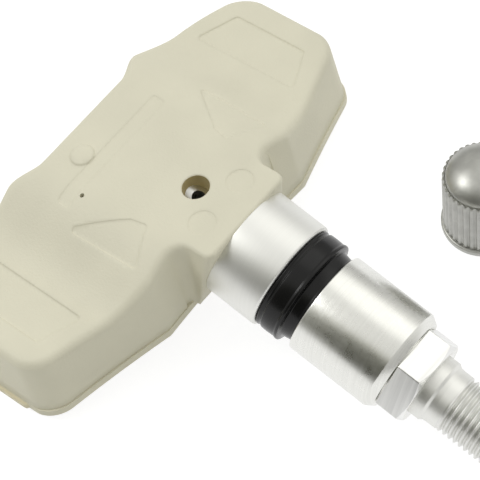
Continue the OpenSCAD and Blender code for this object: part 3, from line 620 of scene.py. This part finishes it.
def build_case():
    """The case's outside in one skin: wall, rounded upper edge, top and neck."""
    rows = drop_repeats(case_outline())
    top = np.array([r[:2] for r in rows], float)
    n = len(top)
    inward = normals_of(top)
    radius = np.array([r[5] for r in rows])
    rim = top_at(top[:, 1]) - radius
    foot_w = foot_at(top[:, 0], top[:, 1]) + COVER_T
    out = DRAFT * (rim - foot_w) / (rim - float(low_at(WING_REACH + LIP)))
    bottom = np.array(
        [
            (r[2], r[3], r[4]) if r[2] is not None else (*(top[i] - inward[i] * out[i]), foot_w[i])
            for i, r in enumerate(rows)
        ]
    )
    gap = 0.02
    bottom_in = bottom.copy()
    bottom_in[:, :2] += inward * gap
    wall_top = np.column_stack([top, top_at(top[:, 1]) - radius])
    rings = [bottom_in, bottom + [0, 0, gap]]
    start = rings[-1]
    for k in range(1, 4):
        rings.append(start + (wall_top - start) * k / 4)
    steps = 7
    for k in range(steps + 1):
        a = math.pi / 2 * k / steps
        inset = top + inward * (radius * (1 - math.cos(a)))[:, None]
        rings.append(np.column_stack([inset, top_at(inset[:, 1]) - radius * (1 - math.sin(a))]))
    points = [p for r in rings for p in r]
    faces = grid_faces(len(rings), n)
    edge = rings[-1][:, :2]

    # The flat and sloping top inside the rounded edge
    loops = []
    for loop, _ in RECESSES:
        nrm = normals_of(loop)
        for offset in (-0.05, 0.0, 0.045, 0.09):
            loops.append(loop + nrm * offset)
    for r in (1.72, 1.64, 1.56, 1.48, 1.0, 0.5):
        loops.append(circle(DIMPLE[0], DIMPLE[1], r, 48))
    hole_loops = [circle(0, 0, r, 64) for r in (HOLE_EDGE, 1.90, 1.84, HOLE_R)]
    inlet_loops = [circle(*INLET, r, 20) for r in (0.36, INLET_R)]
    constraint = [edge] + loops + hole_loops + inlet_loops
    spacing = 0.45
    gu = np.arange(edge[:, 0].min(), edge[:, 0].max(), spacing * math.sqrt(3) / 2)
    gy = np.arange(edge[:, 1].min(), edge[:, 1].max(), spacing)
    grid = np.array([(u, y + (spacing / 2 if i % 2 else 0)) for i, u in enumerate(gu) for y in gy])
    grid = grid[inside(grid, edge)]
    grid = grid[distance(grid, edge) > 0.3]
    for loop in loops:
        grid = grid[distance(grid, loop) > 0.14]
    grid = grid[np.hypot(grid[:, 0], grid[:, 1]) > HOLE_EDGE + 0.2]
    grid = grid[np.hypot(grid[:, 0] - INLET[0], grid[:, 1] - INLET[1]) > 0.5]
    flat, edges = [], []
    for loop in constraint:
        first = len(flat)
        flat.extend(Vector(p) for p in loop)
        edges.extend((first + i, first + (i + 1) % len(loop)) for i in range(len(loop)))
    flat.extend(Vector(p) for p in grid)
    verts, _, tris = delaunay_2d_cdt(flat, edges, [], 0, 1e-7)[:3]
    verts = np.array([tuple(v) for v in verts])
    centres = np.array([verts[list(t)].mean(0) for t in tris])
    keep = inside(centres, edge)
    keep &= np.hypot(centres[:, 0], centres[:, 1]) > HOLE_R - 0.01
    keep &= np.hypot(centres[:, 0] - INLET[0], centres[:, 1] - INLET[1]) > INLET_R - 0.005
    w = surface(verts)
    d = np.hypot(verts[:, 0], verts[:, 1])
    dip = HOLE_LIP * smooth((HOLE_EDGE - d) / (HOLE_EDGE - HOLE_R)) ** 2
    w -= np.where(d < HOLE_EDGE, dip, 0)
    first = len(points)
    points.extend(np.column_stack([verts, w]))
    faces.extend([first + i for i in t] for t, k in zip(tris, keep) if k)

    # Wall of the inlet
    loop = inlet_loops[-1]
    h = surface(loop)
    first = len(points)
    for k in range(5):
        points.extend(np.column_stack([loop, h - WALL * k / 4]))
    faces.extend(f[::-1] for f in grid_faces(5, len(loop), first=first))
    # The neck's underside
    faces.append([i for i, r in enumerate(rows) if r[4] == NECK_LOW][::-1])
    add_piece(
        "case_skin",
        np.array(points),
        faces,
        cream,
        "housing",
        ["case_shell"],
        50.0,
        case_to_row,
    )


build_case()


def build_cover():
    """The bottom plate, bent to the wheel's well, and the lips at its ends."""
    corner = [WING_REACH - CORNER_R + CORNER_R * math.sin(math.pi / 2 * k / 12) for k in range(1, 13)]
    half = list(np.linspace(0, WING_REACH - CORNER_R, 50)) + corner
    across = np.array([-y for y in half[:0:-1]] + half)
    across_out = across * (WING_REACH + DRAFT) / WING_REACH
    back, front = back_at(across) - DRAFT, front_at(across) + DRAFT
    steps = 14
    points = []
    for y, y_in, b, f in zip(across_out, across, back, front):
        u = np.linspace(b, f, steps)
        low = foot_at(u, np.full(steps, y_in))
        points.append(np.column_stack([u, np.full(steps, y), low]))
        points.append(np.column_stack([u, np.full(steps, y), low + COVER_T - 0.01])[::-1])
    faces = grid_faces(len(across), 2 * steps)
    last = (len(across) - 1) * 2 * steps
    faces += [list(range(2 * steps))[::-1], list(range(last, last + 2 * steps))]
    add_piece(
        "cover_skin",
        np.concatenate(points),
        faces,
        cover_cream,
        "housing",
        ["bottom_cover"],
        40.0,
        case_to_row,
    )

    points, faces = [], []
    n, chamfer = 24, 0.1
    for side in (-1, 1):
        y0, y1 = WING_REACH - 0.3, WING_REACH + DRAFT + LIP
        b, f = float(back_at(WING_REACH)) + 0.6, float(front_at(WING_REACH)) - 0.6
        u = np.linspace(b, f, n)
        e = np.minimum(1, np.minimum(u - b, f - u) / 0.8)
        reach = y1 - 0.45 * (1 - np.sqrt(1 - (1 - e) ** 2))
        low = foot_at(u, np.full(n, WING_REACH))
        high = low + COVER_T * 0.8
        first = len(points)
        for i in range(n):
            section = [
                (y0, low[i]),
                (reach[i] - chamfer, low[i]),
                (reach[i], low[i] + chamfer),
                (reach[i], high[i] - chamfer),
                (reach[i] - chamfer, high[i]),
                (y0, high[i]),
            ]
            points.extend((u[i], side * y, w) for y, w in section)
        part = grid_faces(n, 6, first=first)
        last = first + (n - 1) * 6
        part += [list(range(first, first + 6))[::-1], list(range(last, last + 6))]
        faces += part if side > 0 else [x[::-1] for x in part]
    add_piece(
        "cover_lips",
        np.array(points),
        faces,
        lip_cream,
        "housing",
        [],
        40.0,
        case_to_row,
    )


build_cover()


def build_potting():
    """The solid's potting, with its foot bent to the inside of the bottom plate."""
    bm = bmesh.new()
    bm.from_mesh(frame["nodes"]["potting_fill"].data)
    for y in np.linspace(-28, 28, 29):
        bmesh.ops.bisect_plane(
            bm,
            geom=bm.verts[:] + bm.edges[:] + bm.faces[:],
            plane_co=(0, STEM_ORIGIN[1] + y * MM, 0),
            plane_no=(0, 1, 0),
        )
    for v in bm.verts:
        u, y, w = row_to_case([v.co])[0]
        low = float(foot_at(u, y)) + COVER_T + 0.02
        v.co = Vector(case_to_row([(u, y, max(w, low))])[0])
    points = [tuple(v.co) for v in bm.verts]
    faces = [[v.index for v in f.verts] for f in bm.faces]
    bm.free()
    add_piece("potting_skin", points, faces, resin, "housing", ["potting_fill"], 30.0)


build_potting()


def build_hole_wall():
    """The moulding closes round the tail, so the air hole's wall runs down to it."""
    loop = circle(0, 0, HOLE_R, 64)
    crown = np.sqrt(TAIL_R**2 - loop[:, 1] ** 2) - AXIS_DEPTH
    low = crown / math.cos(STEM_ANGLE) - loop[:, 0] * math.tan(STEM_ANGLE)
    points = np.concatenate(
        [np.column_stack([loop, -HOLE_LIP + (low + HOLE_LIP) * k / 8]) for k in range(9)]
    )
    faces = [f[::-1] for f in grid_faces(9, len(loop))]
    # The wall gets the painted-shade brown, not the case's cream, to stand in for the shade inside
    # the hole
    add_piece("hole_wall", points, faces, hole_painted_shade, "housing", [], 60.0, case_to_row)


build_hole_wall()

# ---- Stem ----


def build_stem():
    n = 256
    outer = rounded(
        [
            (NECK_X + 0.02, 2.0),
            (NECK_X + 0.02, BARREL_R, 0.12),
            (0.0, BARREL_R, 0.38),
            (0.0, SHAFT_R, 0.05),
            (SHAFT_L, SHAFT_R, 0.25),
            (SHAFT_L + 0.35, SHAFT_R - 0.3, 0.3),
            (VALVE_NECK_X, VALVE_R + 0.02, 0.3),
            (THREAD_X - 0.2, VALVE_R + 0.02),
        ],
        5,
    )
    points, faces = lathe_stem(outer, n)
    add_piece(
        "stem_body",
        points,
        faces,
        satin,
        "housing",
        ["valve_stem"],
        40.0,
        stem_to_row,
    )

    # Valve thread: rings follow the helix and are cut off level at both ends
    depth, per_turn = 0.44, 10
    phase = [0.0, 0.08, 0.16, 0.28, 0.40, 0.48, 0.56, 0.64, 0.76, 0.90]
    form = [1.0, 1.0, 0.96, 0.62, 0.26, 0.06, 0.0, 0.06, 0.36, 0.76]
    x0, x1 = THREAD_X - 0.2, TIP_X
    turns = int((x1 - x0) / THREAD_PITCH) + 3
    angles = 144
    rows, level = [], []
    for k in range(-per_turn, turns * per_turn):
        q, m = divmod(k, per_turn)
        row = []
        for j in range(angles + 1):
            x = x0 + THREAD_PITCH * (q + phase[m] + j / angles)
            xc = min(max(x, x0), x1)
            fade = float(smooth((xc - x0) / 0.5) * smooth((x1 - 0.1 - xc) / 0.4))
            r = VALVE_R + 0.02 - depth * (1 - form[m]) * fade
            r = min(r, VALVE_R - TIP_CHAMFER + (x1 - xc) + 0.02) if xc > x1 - TIP_CHAMFER else r
            t = 2 * math.pi * j / angles
            row.append((xc, r * math.cos(t), r * math.sin(t)))
        rows.append(row)
    count = angles + 1
    points = [p for row in rows for p in row]
    faces = [
        [i * count + j, i * count + j + 1, (i + 1) * count + j + 1, (i + 1) * count + j]
        for i in range(len(rows) - 1)
        for j in range(angles)
    ]
    add_piece(
        "stem_thread",
        np.array(points),
        faces,
        turned,
        "housing",
        [],
        80.0,
        stem_to_row,
    )

    inner = rounded(
        [
            (TIP_X, VALVE_R - TIP_CHAMFER + 0.02),
            (TIP_X, CHAMBER_R, 0.12),
            (SEAT_FROM, CHAMBER_R),
            (SEAT_TO, LOWER_BORE_R),
            (20.0, LOWER_BORE_R),
        ],
        3,
    )
    points, faces = lathe_stem(inner, 96)
    add_piece("stem_tip", points, faces, turned, "housing", [], 40.0, stem_to_row)

    # The tail inside the case, taken from the solid so that its cross hole is right
    source = frame["nodes"]["valve_stem"].data
    co = np.array([v.co for v in source.vertices], float)
    along = ((co - STEM_ORIGIN) @ STEM_AXIS) / MM
    radial = np.linalg.norm((co - STEM_ORIGIN) / MM - along[:, None] * STEM_AXIS, axis=1)
    ok = (along < NECK_X + 0.05) & (radial < BARREL_R - 0.5)
    used = [p for p in source.polygons if all(ok[v] for v in p.vertices)]
    index = {v: i for i, v in enumerate(sorted({v for p in used for v in p.vertices}))}
    points = np.array([co[v] for v in index])
    faces = [[index[v] for v in p.vertices] for p in used]
    add_piece("stem_tail", points, faces, turned, "housing", [], 30.0)


build_stem()


def build_grommet():
    x, r, t = GROMMET_X, FLANGE_R, FLANGE_T
    profile = rounded(
        [
            (x, SHAFT_R + 0.05),
            (x, r - 0.20, 0.1),
            (x + 0.22, r - 0.02, 0.1),
            (x + 0.42, r - 0.16, 0.08),
            (x + 0.62, r - 0.16, 0.08),
            (x + 0.86, r, 0.12),
            (x + t / 2, r + 0.03),
            (x + t - 0.75, r - 0.03, 0.2),
            (x + t - 0.5, r + 0.08, 0.1),
            (x + t - 0.18, r + 0.06, 0.12),
            (x + t - 0.08, r - 0.45, 0.15),
            (x + t + 0.02, GROMMET_NECK_R + 0.05, 0.2),
            (GROMMET_END_X - 0.35, GROMMET_NECK_R - 0.18, 0.3),
            (GROMMET_END_X, GROMMET_NECK_R - 0.1, 0.08),
            (GROMMET_END_X, SHAFT_R + 0.05),
        ],
        4,
    )
    points, faces = lathe_stem(profile, 224)
    add_piece(
        "grommet_rubber",
        points,
        faces,
        rubber,
        "housing",
        ["grommet"],
        60.0,
        stem_to_row,
    )


build_grommet()


def hex_radius(t, af, corner_round=0.18):
    """Distance from the axis to a hexagon with slightly rounded corners, in the direction t."""
    face = af / 2
    a = (t - math.radians(HEX_TURN)) % (math.pi / 3)
    psi = min(a, math.pi / 3 - a)
    d = face / math.cos(math.pi / 6) - corner_round / math.cos(math.pi / 6)
    limit = math.atan2(corner_round * 0.5, d + corner_round * math.cos(math.pi / 6))
    if psi < limit:
        return d * math.cos(psi) + math.sqrt(corner_round**2 - (d * math.sin(psi)) ** 2)
    return face / math.cos(math.pi / 6 - psi)


def build_nut():
    chamfer_x = NUT_X + SLEEVE_L
    shoulder_x = chamfer_x + NUT_CHAMFER_L
    end_x = chamfer_x + WAIST_L + HEX_L
    face_r = HEX_AF / 2 - 0.1
    corner_r = HEX_AF / 2 / math.cos(math.pi / 6)
    slope = (corner_r - face_r) / HEX_CHAMFER
    angles = list(np.linspace(0, 2 * math.pi, 360, endpoint=False))
    for k in range(6):
        c = math.radians(HEX_TURN + 60 * k)
        angles += [(c + d) % (2 * math.pi) for d in np.linspace(-0.03, 0.03, 13)]
    angles = np.array(sorted(angles))
    columns = []
    for t in angles:
        r = hex_radius(t, HEX_AF)
        front_x = end_x - (r - face_r) / slope
        columns.append(
            rounded(
                [
                    (WASHER_POCKET_X, NUT_BORE_R),
                    (WASHER_POCKET_X, WASHER_POCKET_R),
                    (NUT_X, WASHER_POCKET_R, 0.1),
                    (NUT_X, SLEEVE_R, 0.22),
                    (chamfer_x, SLEEVE_R, 0.12),
                    (shoulder_x, SLEEVE_R - NUT_CHAMFER_R, 0.05),
                    (shoulder_x - 0.02, GROOVE_R),
                    (HEX_X, GROOVE_R),
                    (HEX_X + 0.02, r, 0.05),
                    (front_x, r, 0.08),
                    (end_x, face_r, 0.06),
                    (end_x, NUT_BORE_R + 0.4, 0.05),
                    (end_x - 0.35, NUT_BORE_R),
                    (end_x - 4.0, NUT_BORE_R),
                ],
                3,
            )
        )
    columns = np.array(columns)
    n, m = columns.shape[0], columns.shape[1]
    points = []
    for i in range(m):
        x, r = columns[:, i, 0], columns[:, i, 1]
        points.append(np.column_stack([x, r * np.cos(angles), r * np.sin(angles)]))
    nut = add_piece(
        "nut_body",
        np.concatenate(points),
        grid_faces(m, n),
        bright,
        "nut",
        ["clamp_nut"],
        32.0,
        stem_to_row,
    )
    nut.data.materials.append(milled)
    for polygon in nut.data.polygons:
        x = (np.array(polygon.center) - STEM_ORIGIN) @ STEM_AXIS / MM
        polygon.material_index = int(HEX_X < x < end_x - 0.05)


build_nut()


def build_cap():
    dome_r = CAP_R - 0.42
    ball = (dome_r**2 + CAP_DOME_H**2) / (2 * CAP_DOME_H)
    n = CAP_RIBS * 14
    angles = np.linspace(0, 2 * math.pi, n, endpoint=False)
    wave = 0.5 + 0.5 * np.cos(CAP_RIBS * angles)
    rib = CAP_RIB_DEPTH * (1 - (1 - wave) ** 1.6)
    root = CAP_R - CAP_RIB_DEPTH
    rows = []

    def ring(z, r, share=0.0):
        out = r + rib * share
        rows.append(np.column_stack([out * np.cos(angles), out * np.sin(angles), np.full(n, z)]))

    bore_and_flange = [
        (CAP_BORE_L, CAP_BORE_R - 0.6),
        (CAP_BORE_L, CAP_BORE_R),
        (0, CAP_BORE_R, 0.2),
        (0, CAP_FLANGE_R, 0.3),
        (CAP_FLANGE_H, CAP_FLANGE_R, 0.25),
        (CAP_FLANGE_H, root - 0.05),
    ]
    for z, r in rounded(bore_and_flange, 4)[:-1]:
        ring(z, r)
    ring(CAP_FLANGE_H + 0.02, root - 0.02)
    ring(CAP_FLANGE_H + 0.10, root, 0.5)
    ring(CAP_FLANGE_H + 0.35, root, 1.0)
    for z in np.linspace(CAP_FLANGE_H + 1, CAP_BODY_H - 0.5, 6):
        ring(z, root, 1.0)
    ring(CAP_BODY_H - 0.32, root, 1.0)
    ring(CAP_BODY_H - 0.12, root - 0.03, 0.85)
    ring(CAP_BODY_H, root - 0.08, 0.55)
    ring(CAP_BODY_H - 0.12, dome_r + 0.03)
    for k in range(37):
        r = dome_r * math.cos(math.pi / 2 * k / 37)
        shallow = CAP_DOME_H - ball + math.sqrt(ball**2 - r**2)
        full = CAP_DOME_H * math.sqrt(1 - (r / dome_r) ** 2)
        ring(CAP_BODY_H + 0.4 * shallow + 0.6 * full, r)
    ring(CAP_BODY_H + CAP_DOME_H, 0.01)
    add_piece(
        "cap_body",
        np.concatenate(rows),
        grid_faces(len(rows), n),
        cap_paint,
        "housing",
        ["valve_cap"],
        50.0,
        cap_to_row,
    )


build_cap()

# ---- Camera, from the stem's fitted place in the picture ----

R = np.array([[0.7736, 0.6314, 0.0536], [0.5991, -0.7012, -0.3865], [-0.2065, 0.3311, -0.9207]])
left_vectors, _, right_vectors = np.linalg.svd(R)
R = left_vectors @ right_vectors
T = np.array([6.340, 4.558, 284.78])
LENS_PX, IMAGE_PX, SENSOR_MM = 2300.0, 480.0, 36.0
eye = stem_to_row([-R.T @ T])[0]
right, down, ahead = STEM @ R[0], STEM @ R[1], STEM @ R[2]
camera_data = bpy.data.cameras.new("camera")
camera_data.sensor_width = SENSOR_MM
camera_data.lens = SENSOR_MM * LENS_PX / IMAGE_PX
camera_data.clip_start, camera_data.clip_end = 0.01, 10.0
camera = bpy.data.objects.new("camera", camera_data)
turn = Matrix([list(r) for r in np.column_stack([right, -down, -ahead])])
camera.matrix_world = Matrix.Translation(Vector(eye)) @ turn.to_4x4()
bpy.context.scene.collection.objects.link(camera)
bpy.context.scene.camera = camera

# ---- Floor, surroundings and lights ----

floor_mesh = bpy.data.meshes.new("floor")
floor_mesh.from_pydata([(-3, -3, 0), (3, -3, 0), (3, 3, 0), (-3, 3, 0)], [], [(0, 1, 2, 3)])
floor = bpy.data.objects.new("floor", floor_mesh)
floor.location.z = -0.0002
bpy.context.scene.collection.objects.link(floor)
floor_look = bpy.data.materials.new("floor")
floor_look.use_nodes = True
tree = floor_look.node_tree
tree.nodes.clear()
out = tree.nodes.new("ShaderNodeOutputMaterial")
path = tree.nodes.new("ShaderNodeLightPath")


def emission(strength):
    e = tree.nodes.new("ShaderNodeEmission")
    e.inputs["Color"].default_value = (1, 1, 1, 1)
    e.inputs["Strength"].default_value = strength
    return e.outputs[0]


def matt(value):
    d = tree.nodes.new("ShaderNodeBsdfDiffuse")
    d.inputs["Color"].default_value = (value, value, 0.99 * value, 1)
    return d.outputs[0]


def chosen(factor, first, second):
    m = tree.nodes.new("ShaderNodeMixShader")
    link(tree, factor, m.inputs[0])
    link(tree, first, m.inputs[1])
    link(tree, second, m.inputs[2])
    return m.outputs[0]


# To the camera the floor is white but for a faint shadow, metal mirrors it as plain white,
# and every other ray meets a matt white floor that lights the object from below
shadowed = tree.nodes.new("ShaderNodeAddShader")
link(tree, emission(0.86), shadowed.inputs[0])
link(tree, matt(0.30), shadowed.inputs[1])
mirrored = tree.nodes.new("ShaderNodeMath")
mirrored.operation = "MAXIMUM"
link(tree, path.outputs["Is Glossy Ray"], mirrored.inputs[0])
link(tree, path.outputs["Is Transmission Ray"], mirrored.inputs[1])
seen = chosen(path.outputs["Is Camera Ray"], matt(0.95), shadowed.outputs[0])
link(tree, chosen(mirrored.outputs[0], seen, emission(1.0)), out.inputs["Surface"])
floor_mesh.materials.append(floor_look)


def world_light():
    """White to camera and transmission rays. To all others a tent, brighter at the top, with
    two bright sides and a dark one."""
    world = bpy.data.worlds.new("tent")
    bpy.context.scene.world = world
    world.use_nodes = True
    tree = world.node_tree
    tree.nodes.clear()
    out = tree.nodes.new("ShaderNodeOutputWorld")
    coords = tree.nodes.new("ShaderNodeTexCoord")

    def towards(direction, low, high):
        """0 to 1 as the view turns towards a direction."""
        d = Vector(direction).normalized()
        dot = tree.nodes.new("ShaderNodeVectorMath")
        dot.operation = "DOT_PRODUCT"
        dot.inputs[1].default_value = d
        link(tree, coords.outputs["Generated"], dot.inputs[0])
        span = tree.nodes.new("ShaderNodeMapRange")
        span.interpolation_type = "SMOOTHSTEP"
        span.inputs["From Min"].default_value = low
        span.inputs["From Max"].default_value = high
        link(tree, dot.outputs["Value"], span.inputs["Value"])
        return span.outputs["Result"]

    def maths(kind, a, b):
        m = tree.nodes.new("ShaderNodeMath")
        m.operation = kind
        for i, x in enumerate((a, b)):
            if isinstance(x, (int, float)):
                m.inputs[i].default_value = x
            else:
                link(tree, x, m.inputs[i])
        return m.outputs[0]

    upward = towards((0, 0, 1), 0.0, 0.75)
    bright_side = towards((-0.045, 0.575, 0.816), 0.87, 0.96)
    right_side = towards((0.45, 0.85, 0.27), 0.75, 0.97)
    dark_side = towards((0.15, -0.90, 0.42), 0.76, 0.94)
    value = maths("ADD", 0.38, maths("MULTIPLY", upward, 0.40))
    value = maths("ADD", value, maths("MULTIPLY", bright_side, 0.52))
    value = maths("ADD", value, maths("MULTIPLY", right_side, 0.35))
    value = maths("MULTIPLY", value, maths("SUBTRACT", 1.0, maths("MULTIPLY", dark_side, 0.88)))
    tint = tree.nodes.new("ShaderNodeMixRGB")
    tint.inputs[1].default_value = (1.0, 0.995, 0.965, 1)
    tint.inputs[2].default_value = (1.0, 1.0, 0.78, 1)
    link(tree, dark_side, tint.inputs[0])
    tent = tree.nodes.new("ShaderNodeBackground")
    link(tree, tint.outputs[0], tent.inputs["Color"])
    link(tree, value, tent.inputs["Strength"])
    plain_white = tree.nodes.new("ShaderNodeBackground")
    plain_white.inputs["Color"].default_value = (1, 1, 1, 1)
    plain_white.inputs["Strength"].default_value = 1.0
    ray = tree.nodes.new("ShaderNodeLightPath").outputs
    mix = tree.nodes.new("ShaderNodeMixShader")
    straight = maths("MAXIMUM", ray["Is Camera Ray"], ray["Is Transmission Ray"])
    link(tree, straight, mix.inputs[0])
    link(tree, tent.outputs[0], mix.inputs[1])
    link(tree, plain_white.outputs[0], mix.inputs[2])
    link(tree, mix.outputs[0], out.inputs["Surface"])


world_light()


def area_light(name, direction, distance_m, size, watts):
    data = bpy.data.lights.new(name, "AREA")
    data.shape = "DISK"
    data.size = size
    data.energy = watts
    lamp = bpy.data.objects.new(name, data)
    d = Vector(direction).normalized()
    lamp.location = d * distance_m
    lamp.rotation_mode = "QUATERNION"
    lamp.rotation_quaternion = d.to_track_quat("Z", "Y")
    bpy.context.scene.collection.objects.link(lamp)


area_light("key", (-0.52, -0.34, 0.78), 0.5, 0.20, 0.6)

bpy.context.scene.view_settings.view_transform = "Standard"
